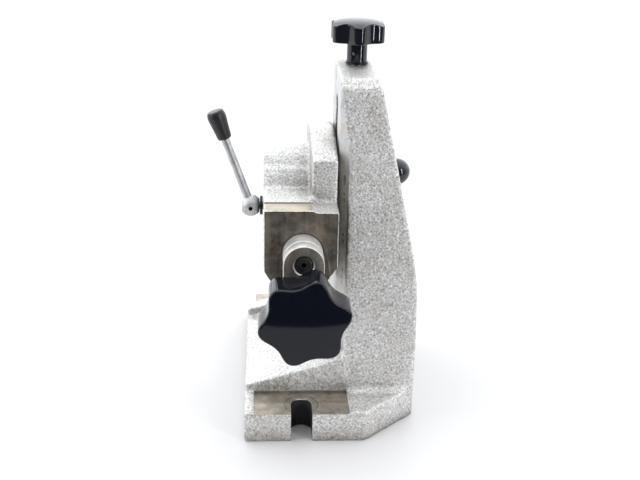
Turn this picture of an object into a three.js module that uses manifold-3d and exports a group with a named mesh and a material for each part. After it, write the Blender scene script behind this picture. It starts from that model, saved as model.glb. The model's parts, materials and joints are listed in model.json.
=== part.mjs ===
// Adjustable-height tailstock for a dividing head or rotary table.
// Millimetres, +Z up. +Y runs along the quill from its feed knob to its centre point, +X runs from the
// quill to the column. X = 0 is the quill axis and the middle of the bolt slots, Y = 0 is the middle of
// the base, and Z = 0 is the face that stands on the machine table.
import * as THREE from "three";
import { mergeVertices } from "three/addons/utils/BufferGeometryUtils.js";
import Module from "manifold-3d";

const wasm = await Module();
wasm.setup();

// ---- driving dimensions ----

const FIT = 0.3; // clearance between two pieces that meet or slide
const DEG = Math.PI / 180;

const BASE = {
  left: -41,
  right: 84,
  half: 100,
  cornerCut: [38, 34.5],
  footTop: 23.5,
  padTop: 22.5,
  padHalf: 33.8,
  padInner: 69.5,
  slotWidth: 14,
  slotDepth: 20.5,
};

const DECK = {
  ribOuter: 69.5,
  ribInner: 55.5,
  ribLow: 28.4,
  floorLow: 21.4,
  slope: 0.292,
};

const COLUMN = {
  top: 248,
  front: 31.5,
  railFace: 25.5,
  railHalf: 40,
  railRootHalf: 46,
  halfTop: 40,
  halfFoot: 69.5,
  footZ: 28,
  bevel: 6.5,
  rearTop: 53.7,
  rearRound: 4,
  rearBendTop: [79.6, 127.7],
  rearBendCorner: [84, 106.7],
  rearBendFoot: [84, 88],
  plateRear: 34.7,
  hollowFloor: 30,
  hollowRoof: 228,
  hollowHalfFloor: 54,
  hollowHalfRoof: 32.7,
  slotHalf: 9,
  slotBottom: 100,
  slotTop: 228,
};

const HEIGHT = {
  x: 40.7,
  y: 14,
  radius: 5,
  end: 20,
  top: 270,
  knobRim: 265,
  knobShoulder: 274.5,
  knobTop: 281,
  knobRadius: 21,
  lobeDepth: 3.8,
  knobTurn: 30 * DEG,
  hubRadius: 7.5,
  washerRadius: 8.2,
  washerThick: 1.2,
  pinZ: 255.7,
  pinTurn: -28 * DEG,
  collarRadius: 9,
  collarThick: 5.2,
  collarSink: 7,
};

const GRUB = { radius: 2.4, socket: 1.4, z: 237.5, start: 28, length: 6 };
const BUSH = { seatRadius: 7.8, seatBottom: 14 };
const PIN = { small: 1, knob: 1.3, arm: 2 }; // radii of the cross pins
const LOBE_SHARPNESS = 1.25; // above 1, the lobes of a knob are narrower than its hollows

const STUD_Z = 167; // height of the clamp stud, which is also the axis that the head tilts about

const LIFT = {
  front: 35,
  rear: 52,
  left: -14,
  right: 24,
  half: 14,
  tenonHalf: 8.7,
  tenonFront: 26.2,
  studRadius: 6,
  studHeadRadius: 10,
  studHeadInset: 0.8,
  studHeadLength: 7.5,
  studEnd: 64,
  headWasherThick: 1.8,
};

const CLAMP = {
  washerRadius: 12,
  washerThick: 2.2,
  hubRadius: 10,
  hubLength: 11,
  hubStart: 54.8,
  rodRootReach: 8.2,
  ballX: 76,
  ballReach: 28.7,
  ballRadius: 10.5,
  ballSocket: 5,
  ballTurn: -12.7 * DEG,
  rodRadius: 3.5,
};

const HEAD = {
  left: -27.3,
  right: 24.9,
  near: -74,
  far: 70,
  top: -1,
  topRight: -2.8,
  shelf: 16,
  bossRadius: 24,
  bossEnd: 7.5,
  chamferLeft: -46.5,
  chamferRight: -43,
  toeLeft: -11.2,
  toeRight: 7,
  toe: -71,
  toeRadius: 15.3,
  flangeStart: 6.5,
  flangeHalf: 52,
  flangeShoulder: 27,
  flangeTop: 36,
  studSinkRadius: 12,
  studSinkDepth: 11,
};

const QUILL = {
  drop: 32.4,
  radius: 14,
  near: -85.7,
  far: 86,
  armNear: -96,
  armFar: -86,
  sinkRadius: 6.5,
  sinkDepth: 7,
  screwRadius: 4,
  screwHeadRadius: 6.1,
  centreRadius: 8,
  centreLip: 5,
  centreShank: 5.5,
  screwWayLength: 24,
  pinRise: 10,
};

const FEED = {
  drop: 28,
  radius: 6,
  end: -32,
  neckRadius: 5,
  knobFace: -130,
  knobBack: -105,
  knobRadius: 31.5,
  lobeDepth: 5.8,
  hubRadius: 12.5,
  hubBack: -98.6,
  washerRadius: 10.5,
  collarRadius: 9,
  collarStart: -85.4,
  collarThick: 5,
  turn: 13 * DEG,
  crownDepth: 5,
  insertRadius: 8.5,
  insertStart: -123,
};

const LOCK = {
  y: -25,
  drop: 15,
  plugRadius: 7,
  studRadius: 3,
  boreEnd: 17,
  hubX: -36.3,
  hubRadius: 8,
  hubFlat: 6.3,
  eyeRadius: 1.4,
  collarRadius: 7,
  rodRadius: 3,
  rodStart: 5.8,
  rodLength: 57,
  gripStart: 53,
  gripLength: 21,
  lean: 19.6 * DEG,
};

// ---- finishes ----

function finish(color, roughness, metalness) {
  return new THREE.MeshStandardMaterial({ color, roughness, metalness });
}

const SILVER_PAINT = finish(0xb9babc, 0.55, 0.35);
const MACHINED_STEEL = finish(0xa39c92, 0.35, 0.9);
const BRIGHT_STEEL = finish(0xc2c2c0, 0.25, 1.0);
const BLACK_OXIDE = finish(0x26262a, 0.45, 0.7);
const BLACK_PLASTIC = finish(0x0c0d12, 0.18, 0.0);
const SATIN_PLASTIC = finish(0x17171a, 0.5, 0.0);
const BRASS = finish(0xb08d4a, 0.35, 1.0);

// ---- making and combining solids ----

function basis(x, y, z) {
  const columns = [x, y, z].map((v) => new THREE.Vector3(...v));
  return new THREE.Matrix4().makeBasis(...columns);
}

// An extruded outline lies in one of these planes; its depth runs along the third direction.
const PLANES = {
  xy: basis([1, 0, 0], [0, 1, 0], [0, 0, 1]),
  xz: basis([1, 0, 0], [0, 0, 1], [0, -1, 0]),
  yz: basis([0, 1, 0], [0, 0, 1], [1, 0, 0]),
};

// A turned profile is spun about one of these axes.
const AXES = {
  x: basis([0, 1, 0], [1, 0, 0], [0, 0, -1]),
  y: basis([1, 0, 0], [0, 1, 0], [0, 0, 1]),
  z: basis([1, 0, 0], [0, 0, 1], [0, -1, 0]),
};

function outline(points) {
  return new THREE.Shape(points.map(([a, b]) => new THREE.Vector2(a, b)));
}

function extrude(shape, plane, from, to, curveSegments = 10) {
  const depth = to - from;
  const geometry = new THREE.ExtrudeGeometry(shape, { depth, bevelEnabled: false, curveSegments });
  geometry.applyMatrix4(PLANES[plane]);
  const shift = { xy: [0, 0, from], xz: [0, to, 0], yz: [from, 0, 0] }[plane];
  return geometry.translate(...shift);
}

// A profile is a list of [radius, distance along the axis], starting low on the axis and ending high on it,
// or closing on itself anticlockwise.
function turned(profile, axis, segments = 28) {
  const points = profile.map(([r, t]) => new THREE.Vector2(r, t));
  return new THREE.LatheGeometry(points, segments).applyMatrix4(AXES[axis]);
}

function rod(radius, from, to, axis, segments = 28) {
  return turned([[0, from], [radius, from], [radius, to], [0, to]], axis, segments);
}

function ring(inner, outer, from, to, axis, segments = 28) {
  const profile = [[inner, from], [outer, from], [outer, to], [inner, to], [inner, from]];
  return turned(profile, axis, segments);
}

function block(x0, x1, y0, y1, z0, z1) {
  const geometry = new THREE.BoxGeometry(x1 - x0, y1 - y0, z1 - z0);
  return geometry.translate((x0 + x1) / 2, (y0 + y1) / 2, (z0 + z1) / 2);
}

// Corners on the axis merge into one, so triangles that lose an edge there are dropped.
function solid(geometry) {
  const bare = geometry.clone();
  bare.deleteAttribute("normal");
  bare.deleteAttribute("uv");
  const merged = mergeVertices(bare, 1e-4);
  const kept = [];
  const index = merged.index.array;
  for (let i = 0; i < index.length; i += 3) {
    const [a, b, c] = index.slice(i, i + 3);
    if (a !== b && b !== c && c !== a) kept.push(a, b, c);
  }
  const vertProperties = merged.attributes.position.array;
  return new wasm.Manifold(new wasm.Mesh({ numProp: 3, vertProperties, triVerts: new Uint32Array(kept) }));
}

function join(first, ...others) {
  return others.reduce((all, geometry) => all.add(solid(geometry)), asSolid(first));
}

function cut(first, ...tools) {
  return tools.reduce((left, tool) => left.subtract(asSolid(tool)), asSolid(first));
}

function common(first, second) {
  return asSolid(first).intersect(asSolid(second));
}

function asSolid(shape) {
  return shape.isBufferGeometry ? solid(shape) : shape;
}

function asGeometry(shape) {
  const mesh = asSolid(shape).getMesh();
  const geometry = new THREE.BufferGeometry();
  geometry.setAttribute("position", new THREE.BufferAttribute(new Float32Array(mesh.vertProperties), 3));
  geometry.setIndex(new THREE.BufferAttribute(new Uint32Array(mesh.triVerts), 1));
  geometry.computeVertexNormals();
  return geometry;
}

function piece(group, name, shape, material, position = [0, 0, 0]) {
  const mesh = new THREE.Mesh(asGeometry(shape), material);
  mesh.name = name;
  mesh.position.set(...position);
  group.add(mesh);
  return mesh;
}

function groupAt(parent, x, y, z) {
  const group = new THREE.Group();
  group.position.set(x, y, z);
  parent.add(group);
  return group;
}

// ---- base and column casting ----

// The base seen from above: a rectangle with both rear corners cut off.
function baseOutline() {
  const { left, right, half } = BASE;
  const [cutX, cutY] = BASE.cornerCut;
  return outline([
    [left, -half],
    [right - cutX, -half],
    [right, -half + cutY],
    [right, half - cutY],
    [right - cutX, half],
    [left, half],
  ]);
}

// A slope that rises from the left edge of the base to the column.
function rampOutline(low) {
  const { left } = BASE;
  const high = low + (COLUMN.front - left) * DECK.slope;
  return outline([[left, 0], [COLUMN.front + 1, 0], [COLUMN.front + 1, high], [left, low]]);
}

function columnSide() {
  const { front, top, rearTop, rearRound, rearBendTop, rearBendCorner, rearBendFoot } = COLUMN;
  const lean = (rearBendTop[0] - rearTop) / (top - rearBendTop[1]);
  const shape = new THREE.Shape();
  shape.moveTo(front, 1);
  shape.lineTo(BASE.right, 1);
  shape.lineTo(...rearBendFoot);
  shape.quadraticCurveTo(...rearBendCorner, ...rearBendTop);
  shape.lineTo(rearTop + lean * rearRound, top - rearRound);
  shape.quadraticCurveTo(rearTop, top, rearTop - rearRound, top);
  shape.lineTo(front, top);
  return shape;
}

// The column seen from the quill: its ends lean in, with a bevel at the top.
function columnFront() {
  const { halfTop, halfFoot, footZ, top, bevel } = COLUMN;
  const rise = (halfFoot - halfTop) / (top - footZ);
  const halfBevel = halfTop + rise * bevel;
  const right = [[halfFoot, 1], [halfFoot, footZ], [halfBevel, top - bevel], [halfBevel - bevel, top]];
  const left = right.map(([y, z]) => [-y, z]).reverse();
  return outline([...right, ...left]);
}

function railPlan() {
  const { railFace, front, railHalf, railRootHalf } = COLUMN;
  const back = front + 1;
  return outline([[railFace, -railHalf], [back, -railRootHalf], [back, railRootHalf], [railFace, railHalf]]);
}

function columnHollow() {
  const { plateRear, hollowFloor, hollowRoof, hollowHalfFloor, hollowHalfRoof } = COLUMN;
  const shape = outline([
    [-hollowHalfFloor, hollowFloor],
    [hollowHalfFloor, hollowFloor],
    [hollowHalfRoof, hollowRoof],
    [-hollowHalfRoof, hollowRoof],
  ]);
  return extrude(shape, "yz", plateRear, BASE.right + 5);
}

function columnSlot() {
  const { slotHalf, slotBottom, slotTop, railFace, plateRear } = COLUMN;
  const shape = new THREE.Shape();
  shape.moveTo(-slotHalf, slotTop - slotHalf);
  shape.lineTo(-slotHalf, slotBottom + slotHalf);
  shape.absarc(0, slotBottom + slotHalf, slotHalf, Math.PI, 2 * Math.PI, false);
  shape.lineTo(slotHalf, slotTop - slotHalf);
  shape.absarc(0, slotTop - slotHalf, slotHalf, 0, Math.PI, false);
  return extrude(shape, "yz", railFace - 2, plateRear + 2);
}

// The open slot at one end of the base, for the bolt that goes down into the machine table.
function boltSlot(side) {
  const { slotWidth, slotDepth, half } = BASE;
  const radius = slotWidth / 2;
  const centre = half - slotDepth + radius;
  const shape = new THREE.Shape();
  shape.moveTo(radius, half + 3);
  shape.lineTo(-radius, half + 3);
  shape.lineTo(-radius, centre);
  shape.absarc(0, centre, radius, Math.PI, 2 * Math.PI, false);
  const geometry = extrude(shape, "xy", -2, BASE.footTop + 3);
  return side < 0 ? geometry.rotateZ(Math.PI) : geometry;
}

function footPad(side) {
  const { padHalf, padInner, half, padTop } = BASE;
  const [y0, y1] = side < 0 ? [-half - 3, -padInner] : [padInner, half + 3];
  return block(-padHalf, padHalf, y0, y1, padTop, padTop + 40);
}

function columnCasting() {
  const { ribOuter, ribInner, ribLow, floorLow } = DECK;
  const slab = extrude(baseOutline(), "xy", 0, BASE.footTop);
  const wholeFloor = block(BASE.left - 1, COLUMN.front, -ribOuter, ribOuter, 1, 90);
  const plan = extrude(baseOutline(), "xy", 0, COLUMN.top + 1);
  const feet = cut(slab, wholeFloor);
  const floor = extrude(rampOutline(floorLow), "xz", -ribOuter, ribOuter);
  const ribWidth = ribOuter - ribInner;
  const ribs = [-ribOuter, ribInner].map((y) => extrude(rampOutline(ribLow), "xz", y, y + ribWidth));
  const tower = common(extrude(columnSide(), "xz", -80, 80), extrude(columnFront(), "yz", 0, 100));
  const rail = common(extrude(railPlan(), "xy", 10, COLUMN.top), extrude(columnFront(), "yz", 0, 100));
  const upper = common(tower.add(rail), plan);
  const whole = join(feet, floor, ...ribs).add(upper);
  const screwWay = rod(HEIGHT.radius + FIT, COLUMN.hollowRoof - 5, COLUMN.top + 5, "z");
  const bushSeat = rod(BUSH.seatRadius, BUSH.seatBottom, COLUMN.hollowFloor + 5, "z");
  const collarFloor = COLUMN.hollowRoof - HEIGHT.collarSink;
  const collarPocket = rod(HEIGHT.collarRadius + 2 * FIT, collarFloor, COLUMN.hollowRoof, "z");
  const grubWay = rod(GRUB.radius + FIT, COLUMN.railFace - 2, HEIGHT.x, "x", 16);
  return cut(
    whole,
    columnHollow(),
    columnSlot(),
    boltSlot(-1),
    boltSlot(1),
    footPad(-1),
    footPad(1),
    screwWay.translate(HEIGHT.x, HEIGHT.y, 0),
    collarPocket.translate(HEIGHT.x, HEIGHT.y, 0),
    bushSeat.translate(HEIGHT.x, HEIGHT.y, 0),
    grubWay.translate(0, HEIGHT.y, GRUB.z),
  );
}

function grubScrew() {
  const { radius, socket, start, length } = GRUB;
  const hexSocket = rod(socket, start - 1, start + length / 2, "x", 6);
  return cut(rod(radius, start, start + length, "x", 16), hexSocket);
}

// ---- height screw ----

// A knob's outline: lobes as round bumps, with hollows for the fingers between them.
function lobedOutline(radius, depth, turn, lobes = 6, perLobe = 9) {
  const points = [];
  const steps = lobes * perLobe;
  for (let i = 0; i < steps; i++) {
    const angle = (i / steps) * 2 * Math.PI;
    const wave = ((1 + Math.cos(lobes * (angle - turn))) / 2) ** LOBE_SHARPNESS;
    const r = radius - depth * (1 - wave);
    points.push([r * Math.cos(angle), r * Math.sin(angle)]);
  }
  return outline(points);
}

// A domed cap: flat-sided up to its shoulder, then a shallow curve to its crown.
function domeProfile(radius, bottom, shoulder, crown, steps = 5) {
  const points = [[0, bottom], [radius - 0.8, bottom], [radius, bottom + 0.8]];
  for (let i = 0; i <= steps; i++) {
    const angle = (i / steps) * (Math.PI / 2);
    points.push([radius * Math.cos(angle) ** 0.8, shoulder + (crown - shoulder) * Math.sin(angle)]);
  }
  points[points.length - 1][0] = 0;
  return points;
}

function heightKnob() {
  const { knobRim, knobShoulder, knobTop, knobRadius, lobeDepth, knobTurn } = HEIGHT;
  const { hubRadius, radius, pinZ, washerThick } = HEIGHT;
  const lobes = extrude(lobedOutline(knobRadius, lobeDepth, knobTurn), "xy", knobRim - 1, knobTop + 1);
  const head = common(lobes, turned(domeProfile(knobRadius, knobRim, knobShoulder, knobTop), "z"));
  const hubBottom = COLUMN.top + 2 * FIT + washerThick;
  const bore = rod(radius + FIT, hubBottom - 1, HEIGHT.top + FIT, "z", 20);
  const pinWay = rod(PIN.knob + FIT, -hubRadius - 1, hubRadius + 1, "y", 12).rotateZ(HEIGHT.pinTurn);
  return cut(join(head, rod(hubRadius, hubBottom, knobRim + 1, "z")), bore, pinWay.translate(0, 0, pinZ));
}

function heightScrew() {
  const { radius, end, top, pinZ } = HEIGHT;
  const shaft = turned([[0, end], [radius - 1, end], [radius, end + 1], [radius, top], [0, top]], "z", 20);
  const pinWay = rod(PIN.knob + FIT, -radius - 1, radius + 1, "y", 12).rotateZ(HEIGHT.pinTurn);
  const collarPinWay = rod(PIN.small + FIT, -radius - 1, radius + 1, "x", 12).translate(0, 0, collarZ());
  return cut(shaft, pinWay.translate(0, 0, pinZ), collarPinWay);
}

function collarZ() {
  return COLUMN.hollowRoof - FIT - HEIGHT.collarThick / 2;
}

function buildHeightScrew(root) {
  const group = groupAt(root, HEIGHT.x, HEIGHT.y, 0);
  const { radius, washerRadius, washerThick, collarRadius, collarThick, hubRadius, pinZ } = HEIGHT;
  const washerBottom = COLUMN.top + FIT;
  const z = collarZ();
  const collar = ring(radius + FIT, collarRadius, z - collarThick / 2, z + collarThick / 2, "z");
  const collarPinWay = rod(PIN.small + FIT, -collarRadius - 1, collarRadius + 1, "x", 12).translate(0, 0, z);
  const collarPin = rod(PIN.small, 0.4 - collarRadius, collarRadius - 0.4, "x", 12);
  const bush = ring(radius + FIT, BUSH.seatRadius - FIT, BUSH.seatBottom + FIT, COLUMN.hollowFloor, "z");
  const washer = ring(radius + FIT, washerRadius, washerBottom, washerBottom + washerThick, "z");
  const knobPin = rod(PIN.knob, 0.6 - hubRadius, hubRadius - 0.6, "y", 12).rotateZ(HEIGHT.pinTurn);
  piece(group, "height_screw", heightScrew(), BRIGHT_STEEL);
  piece(group, "height_knob", heightKnob(), BLACK_PLASTIC);
  piece(group, "height_knob_pin", knobPin, BLACK_OXIDE, [0, 0, pinZ]);
  piece(group, "height_screw_washer", washer, BLACK_OXIDE);
  piece(group, "height_screw_collar", cut(collar, collarPinWay), BLACK_OXIDE);
  piece(group, "height_collar_pin", collarPin, BRIGHT_STEEL, [0, 0, z]);
  piece(group, "screw_foot_bush", bush, BRASS);
}

// ---- lift block and its clamp ----

function liftBlock() {
  const { front, rear, left, right, half, tenonHalf, tenonFront, studRadius } = LIFT;
  const body = block(front, rear, left, right, -half, half);
  const tenon = block(tenonFront, front + 1, -tenonHalf, tenonHalf, 2 - half, half - 2);
  const studWay = rod(studRadius + FIT, tenonFront - 1, rear + 1, "x");
  const screwWay = rod(HEIGHT.radius + FIT, -half - 1, half + 1, "z", 20);
  return cut(join(body, tenon), studWay, screwWay.translate(HEIGHT.x, HEIGHT.y, 0));
}

function studHeadSpan() {
  const start = HEAD.left + LIFT.studHeadInset;
  return [start, start + LIFT.studHeadLength];
}

function clampStud() {
  const { studHeadRadius, studRadius, studEnd } = LIFT;
  const [headStart, headEnd] = studHeadSpan();
  const hex = rod(studHeadRadius, headStart, headEnd, "x", 6);
  const shank = [
    [0, headEnd - 0.5],
    [studRadius, headEnd - 0.5],
    [studRadius, studEnd - 1],
    [studRadius - 1, studEnd],
    [0, studEnd],
  ];
  return join(hex, turned(shank, "x"));
}

function buildClampLever(lift) {
  const lever = groupAt(lift, 0, 0, 0);
  const { hubRadius, hubStart, hubLength, rodRootReach, rodRadius } = CLAMP;
  const { ballX, ballReach, ballRadius, ballSocket } = CLAMP;
  lever.rotation.x = CLAMP.ballTurn;
  const hubEnd = hubStart + hubLength;
  const hubProfile = [
    [LIFT.studRadius + FIT, hubStart],
    [hubRadius, hubStart],
    [hubRadius, hubEnd - 1.5],
    [hubRadius - 1.5, hubEnd],
    [LIFT.studRadius + FIT, hubEnd],
    [LIFT.studRadius + FIT, hubStart],
  ];
  const rootX = hubStart + hubLength / 2;
  const run = Math.hypot(ballX - rootX, ballReach - rodRootReach);
  const tilt = Math.atan2(ballX - rootX, ballReach - rodRootReach);
  const lay = (geometry) => geometry.rotateZ(-tilt).translate(rootX, rodRootReach, 0);
  const rodWay = lay(rod(rodRadius + FIT, -0.5, run, "y", 20));
  piece(lever, "clamp_hub", cut(turned(hubProfile, "x"), rodWay), BLACK_OXIDE);
  piece(lever, "clamp_rod", lay(rod(rodRadius, 0, run - ballSocket - FIT, "y", 20)), BRIGHT_STEEL);
  const ball = new THREE.SphereGeometry(ballRadius, 20, 12).translate(0, run, 0);
  const ballWay = rod(rodRadius + FIT, run - ballRadius - 2, run - ballSocket, "y", 20);
  piece(lever, "clamp_ball", lay(asGeometry(cut(ball, ballWay))), BLACK_PLASTIC);
}

function buildLift(root) {
  const lift = groupAt(root, 0, 0, STUD_Z);
  const { studRadius, rear, headWasherThick } = LIFT;
  const { washerRadius, washerThick } = CLAMP;
  const seat = studHeadSpan()[1] + FIT;
  const headWasher = ring(studRadius + FIT, HEAD.studSinkRadius - 0.7, seat, seat + headWasherThick, "x");
  const clampWasher = ring(studRadius + FIT, washerRadius, rear + FIT, rear + FIT + washerThick, "x");
  piece(lift, "lift_block", liftBlock(), MACHINED_STEEL);
  piece(lift, "clamp_stud", clampStud(), BLACK_OXIDE);
  piece(lift, "clamp_stud_washer", headWasher, BRIGHT_STEEL);
  piece(lift, "clamp_washer", clampWasher, BRIGHT_STEEL);
  buildClampLever(lift);
  return lift;
}

// ---- head casting ----

// The head seen from the feed knob: square shoulders and a narrow round toe around the feed screw.
function headFront() {
  const { left, right, top, topRight, chamferLeft, chamferRight } = HEAD;
  const { toeLeft, toeRight, toe, flangeStart } = HEAD;
  return outline([
    [left, top],
    [left, chamferLeft],
    [toeLeft, toe],
    [toeRight, toe],
    [right, chamferRight],
    [right, topRight],
    [flangeStart + 3, topRight],
    [flangeStart, top],
  ]);
}

// The rough top of the head, which climbs from the milled shelf at each end to the round boss.
function headRise(side) {
  const { near, far, shelf, bossRadius, top } = HEAD;
  const end = side < 0 ? near + shelf : far - shelf;
  const points = [
    [end, top - 10],
    [end, top + 0.8],
    [side * (bossRadius + 7), top + 1.4],
    [side * (bossRadius + 3), top + 8],
    [side * (bossRadius - 2), top + 14],
    [0, top + 14],
    [0, top - 10],
  ];
  return outline(side < 0 ? points : points.slice().reverse());
}

function flangeFront() {
  const { flangeHalf, flangeShoulder, flangeTop, topRight } = HEAD;
  const rise = flangeTop - flangeShoulder;
  const radius = (flangeHalf ** 2 + rise ** 2) / (2 * rise);
  const spread = Math.asin(flangeHalf / radius);
  const shape = new THREE.Shape();
  shape.moveTo(-flangeHalf, topRight - 20);
  shape.lineTo(flangeHalf, topRight - 20);
  shape.lineTo(flangeHalf, flangeShoulder);
  shape.absarc(0, flangeTop - radius, radius, Math.PI / 2 - spread, Math.PI / 2 + spread, false);
  return shape;
}

function headCasting() {
  const { left, right, near, far, bossRadius, bossEnd, toeRadius, flangeStart } = HEAD;
  const quillZ = -QUILL.drop;
  const feedZ = quillZ - FEED.drop;
  const body = extrude(headFront(), "xz", near, far);
  const toe = rod(toeRadius, near, far, "y", 32).translate(0, 0, feedZ);
  const rises = [-1, 1].map((side) => extrude(headRise(side), "yz", left, flangeStart + 1));
  const boss = rod(bossRadius, left, bossEnd, "x", 48);
  const flange = extrude(flangeFront(), "yz", flangeStart, right, 16);
  const whole = join(body, toe, ...rises, boss, flange);
  const bore = QUILL.radius + FIT;
  const quillWay = rod(bore, near - 1, far + 1, "y", 40).translate(0, 0, quillZ);
  const feedWay = rod(FEED.radius + FIT, near - 1, 10, "y", 24).translate(0, 0, feedZ);
  const collarWay = rod(FEED.collarRadius + 1.2, near - 1, near + 8, "y", 28).translate(0, 0, feedZ);
  const studWay = rod(LIFT.studRadius + FIT, left - 1, right + 1, "x", 28);
  const studSink = rod(HEAD.studSinkRadius, left - 1, left + HEAD.studSinkDepth, "x", 32);
  const lockWay = rod(LOCK.plugRadius + FIT, left - 1, LOCK.boreEnd, "x", 28);
  const shiftedLockWay = lockWay.translate(0, LOCK.y, -LOCK.drop);
  return cut(whole, quillWay, feedWay, collarWay, studWay, studSink, shiftedLockWay);
}

// ---- quill and its feed ----

function quillBody() {
  const { radius, near, far, centreShank, screwRadius, screwWayLength, pinRise } = QUILL;
  const profile = [
    [0, near],
    [radius - 0.8, near],
    [radius, near + 0.8],
    [radius, far - 1.5],
    [radius - 1.5, far],
    [0, far],
  ];
  const screwWay = rod(screwRadius + FIT, near - 1, near + screwWayLength, "y", 20);
  const centreWay = rod(centreShank + FIT, far - 30, far + 1, "y", 24);
  const pinWay = rod(PIN.arm + FIT, near - 1, near + 8, "y", 16).translate(0, 0, pinRise);
  return cut(turned(profile, "y", 40), screwWay, centreWay, pinWay);
}

function centrePoint() {
  const { far, centreRadius, centreLip, centreShank } = QUILL;
  const lip = far + FIT;
  const point = centreRadius / Math.tan(30 * DEG);
  const profile = [
    [0, far - 28],
    [centreShank, far - 28],
    [centreShank, lip],
    [centreRadius, lip],
    [centreRadius, lip + centreLip],
    [0.25, lip + centreLip + point - 0.4],
    [0, lip + centreLip + point - 0.4],
  ];
  return turned(profile, "y", 32);
}

// The arm that ties the quill to its feed screw: a plate with two round ends.
function quillArm() {
  const { radius, armNear, armFar, sinkRadius, sinkDepth, pinRise } = QUILL;
  const shape = new THREE.Shape();
  shape.absarc(0, 0, radius, 0, Math.PI, false);
  shape.absarc(0, -FEED.drop, radius, Math.PI, 2 * Math.PI, false);
  const plate = extrude(shape, "xz", armNear, armFar, 16);
  const screwWay = rod(QUILL.screwRadius + FIT, armNear - 1, armFar + 1, "y", 20);
  const sink = rod(sinkRadius, armNear - 1, armNear + sinkDepth, "y", 28);
  const feedWay = rod(FEED.neckRadius + FIT, armNear - 1, armFar + 1, "y", 24).translate(0, 0, -FEED.drop);
  const pinWay = rod(PIN.arm + FIT, armFar - 6, armFar + 1, "y", 16).translate(0, 0, pinRise);
  return cut(plate, screwWay, sink, feedWay, pinWay);
}

function armScrew() {
  const { armNear, sinkDepth, screwRadius, screwHeadRadius, screwWayLength } = QUILL;
  const face = armNear + 1.6;
  const seat = armNear + sinkDepth - FIT;
  const profile = [
    [0, face],
    [screwHeadRadius - 0.5, face],
    [screwHeadRadius, face + 0.5],
    [screwHeadRadius, seat],
    [screwRadius, seat],
    [screwRadius, seat + screwWayLength],
    [0, seat + screwWayLength],
  ];
  return cut(turned(profile, "y", 24), rod(1.7, face - 1, face + 2.6, "y", 6));
}

function feedScrew() {
  const { radius, neckRadius, end, collarStart, collarThick } = FEED;
  const threadStart = collarStart + collarThick + 1;
  const profile = [
    [0, FEED.knobFace + 8],
    [neckRadius, FEED.knobFace + 8],
    [neckRadius, threadStart],
    [radius, threadStart + 1],
    [radius, end - 1],
    [radius - 1, end],
    [0, end],
  ];
  const pinWay = rod(PIN.small + FIT, -radius - 1, radius + 1, "x", 12);
  return cut(turned(profile, "y", 24), pinWay.translate(0, collarStart + collarThick / 2, 0));
}

function feedKnob() {
  const { knobFace, knobBack, knobRadius, lobeDepth, crownDepth, hubRadius, hubBack, turn } = FEED;
  const lobes = extrude(lobedOutline(knobRadius, lobeDepth, turn), "xz", knobFace - 1, knobBack + 1);
  const dome = domeProfile(knobRadius, -knobBack, -knobFace - crownDepth, -knobFace);
  const head = common(lobes, turned(dome, "y", 32).rotateX(Math.PI));
  const hub = rod(hubRadius, knobBack - 1, hubBack, "y");
  const bore = rod(FEED.insertRadius + FIT, FEED.insertStart - FIT, hubBack + 1, "y", 24);
  return cut(join(head, hub), bore);
}

function buildFeed(quill) {
  const feed = groupAt(quill, 0, 0, -FEED.drop);
  const { neckRadius, collarRadius, collarStart, collarThick, hubBack, washerRadius } = FEED;
  const { insertRadius, insertStart } = FEED;
  const insert = ring(neckRadius + FIT, insertRadius, insertStart, hubBack, "y", 24);
  const washer = ring(neckRadius + FIT, washerRadius, hubBack + FIT, QUILL.armNear - FIT, "y");
  const collar = ring(neckRadius + FIT, collarRadius, collarStart, collarStart + collarThick, "y");
  const pinAt = [0, collarStart + collarThick / 2, 0];
  const pinWay = rod(PIN.small + FIT, -collarRadius - 1, collarRadius + 1, "x", 12).translate(...pinAt);
  const pin = rod(PIN.small, 0.4 - collarRadius, collarRadius - 0.4, "x", 12);
  piece(feed, "feed_screw", feedScrew(), BRIGHT_STEEL);
  piece(feed, "feed_knob", feedKnob(), BLACK_PLASTIC);
  piece(feed, "feed_knob_insert", insert, BRASS);
  piece(feed, "feed_thrust_washer", washer, BRIGHT_STEEL);
  piece(feed, "feed_collar", cut(collar, pinWay), BLACK_OXIDE);
  piece(feed, "feed_collar_pin", pin, BRIGHT_STEEL, pinAt);
}

function buildQuill(head) {
  const quill = groupAt(head, 0, 0, -QUILL.drop);
  const armPin = rod(PIN.arm, QUILL.armFar - 5.5, QUILL.near + 7.5, "y", 16);
  piece(quill, "quill", quillBody(), MACHINED_STEEL);
  piece(quill, "centre_point", centrePoint(), BRIGHT_STEEL);
  piece(quill, "quill_arm", quillArm(), MACHINED_STEEL);
  piece(quill, "arm_screw", armScrew(), BLACK_OXIDE);
  piece(quill, "arm_pin", armPin, BRIGHT_STEEL, [0, 0, QUILL.pinRise]);
  buildFeed(quill);
}

// ---- quill lock ----

// One half of the split cotter, hollowed to bear on the quill and drilled for the stud.
function lockPlug(from, to) {
  const plug = rod(LOCK.plugRadius, from, to, "x");
  const quillWay = rod(QUILL.radius + 2 * FIT, -20, 20, "y", 40).translate(0, 0, LOCK.drop - QUILL.drop);
  return cut(plug, quillWay, rod(LOCK.studRadius + FIT, from - 1, to + 1, "x", 20));
}

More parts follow.
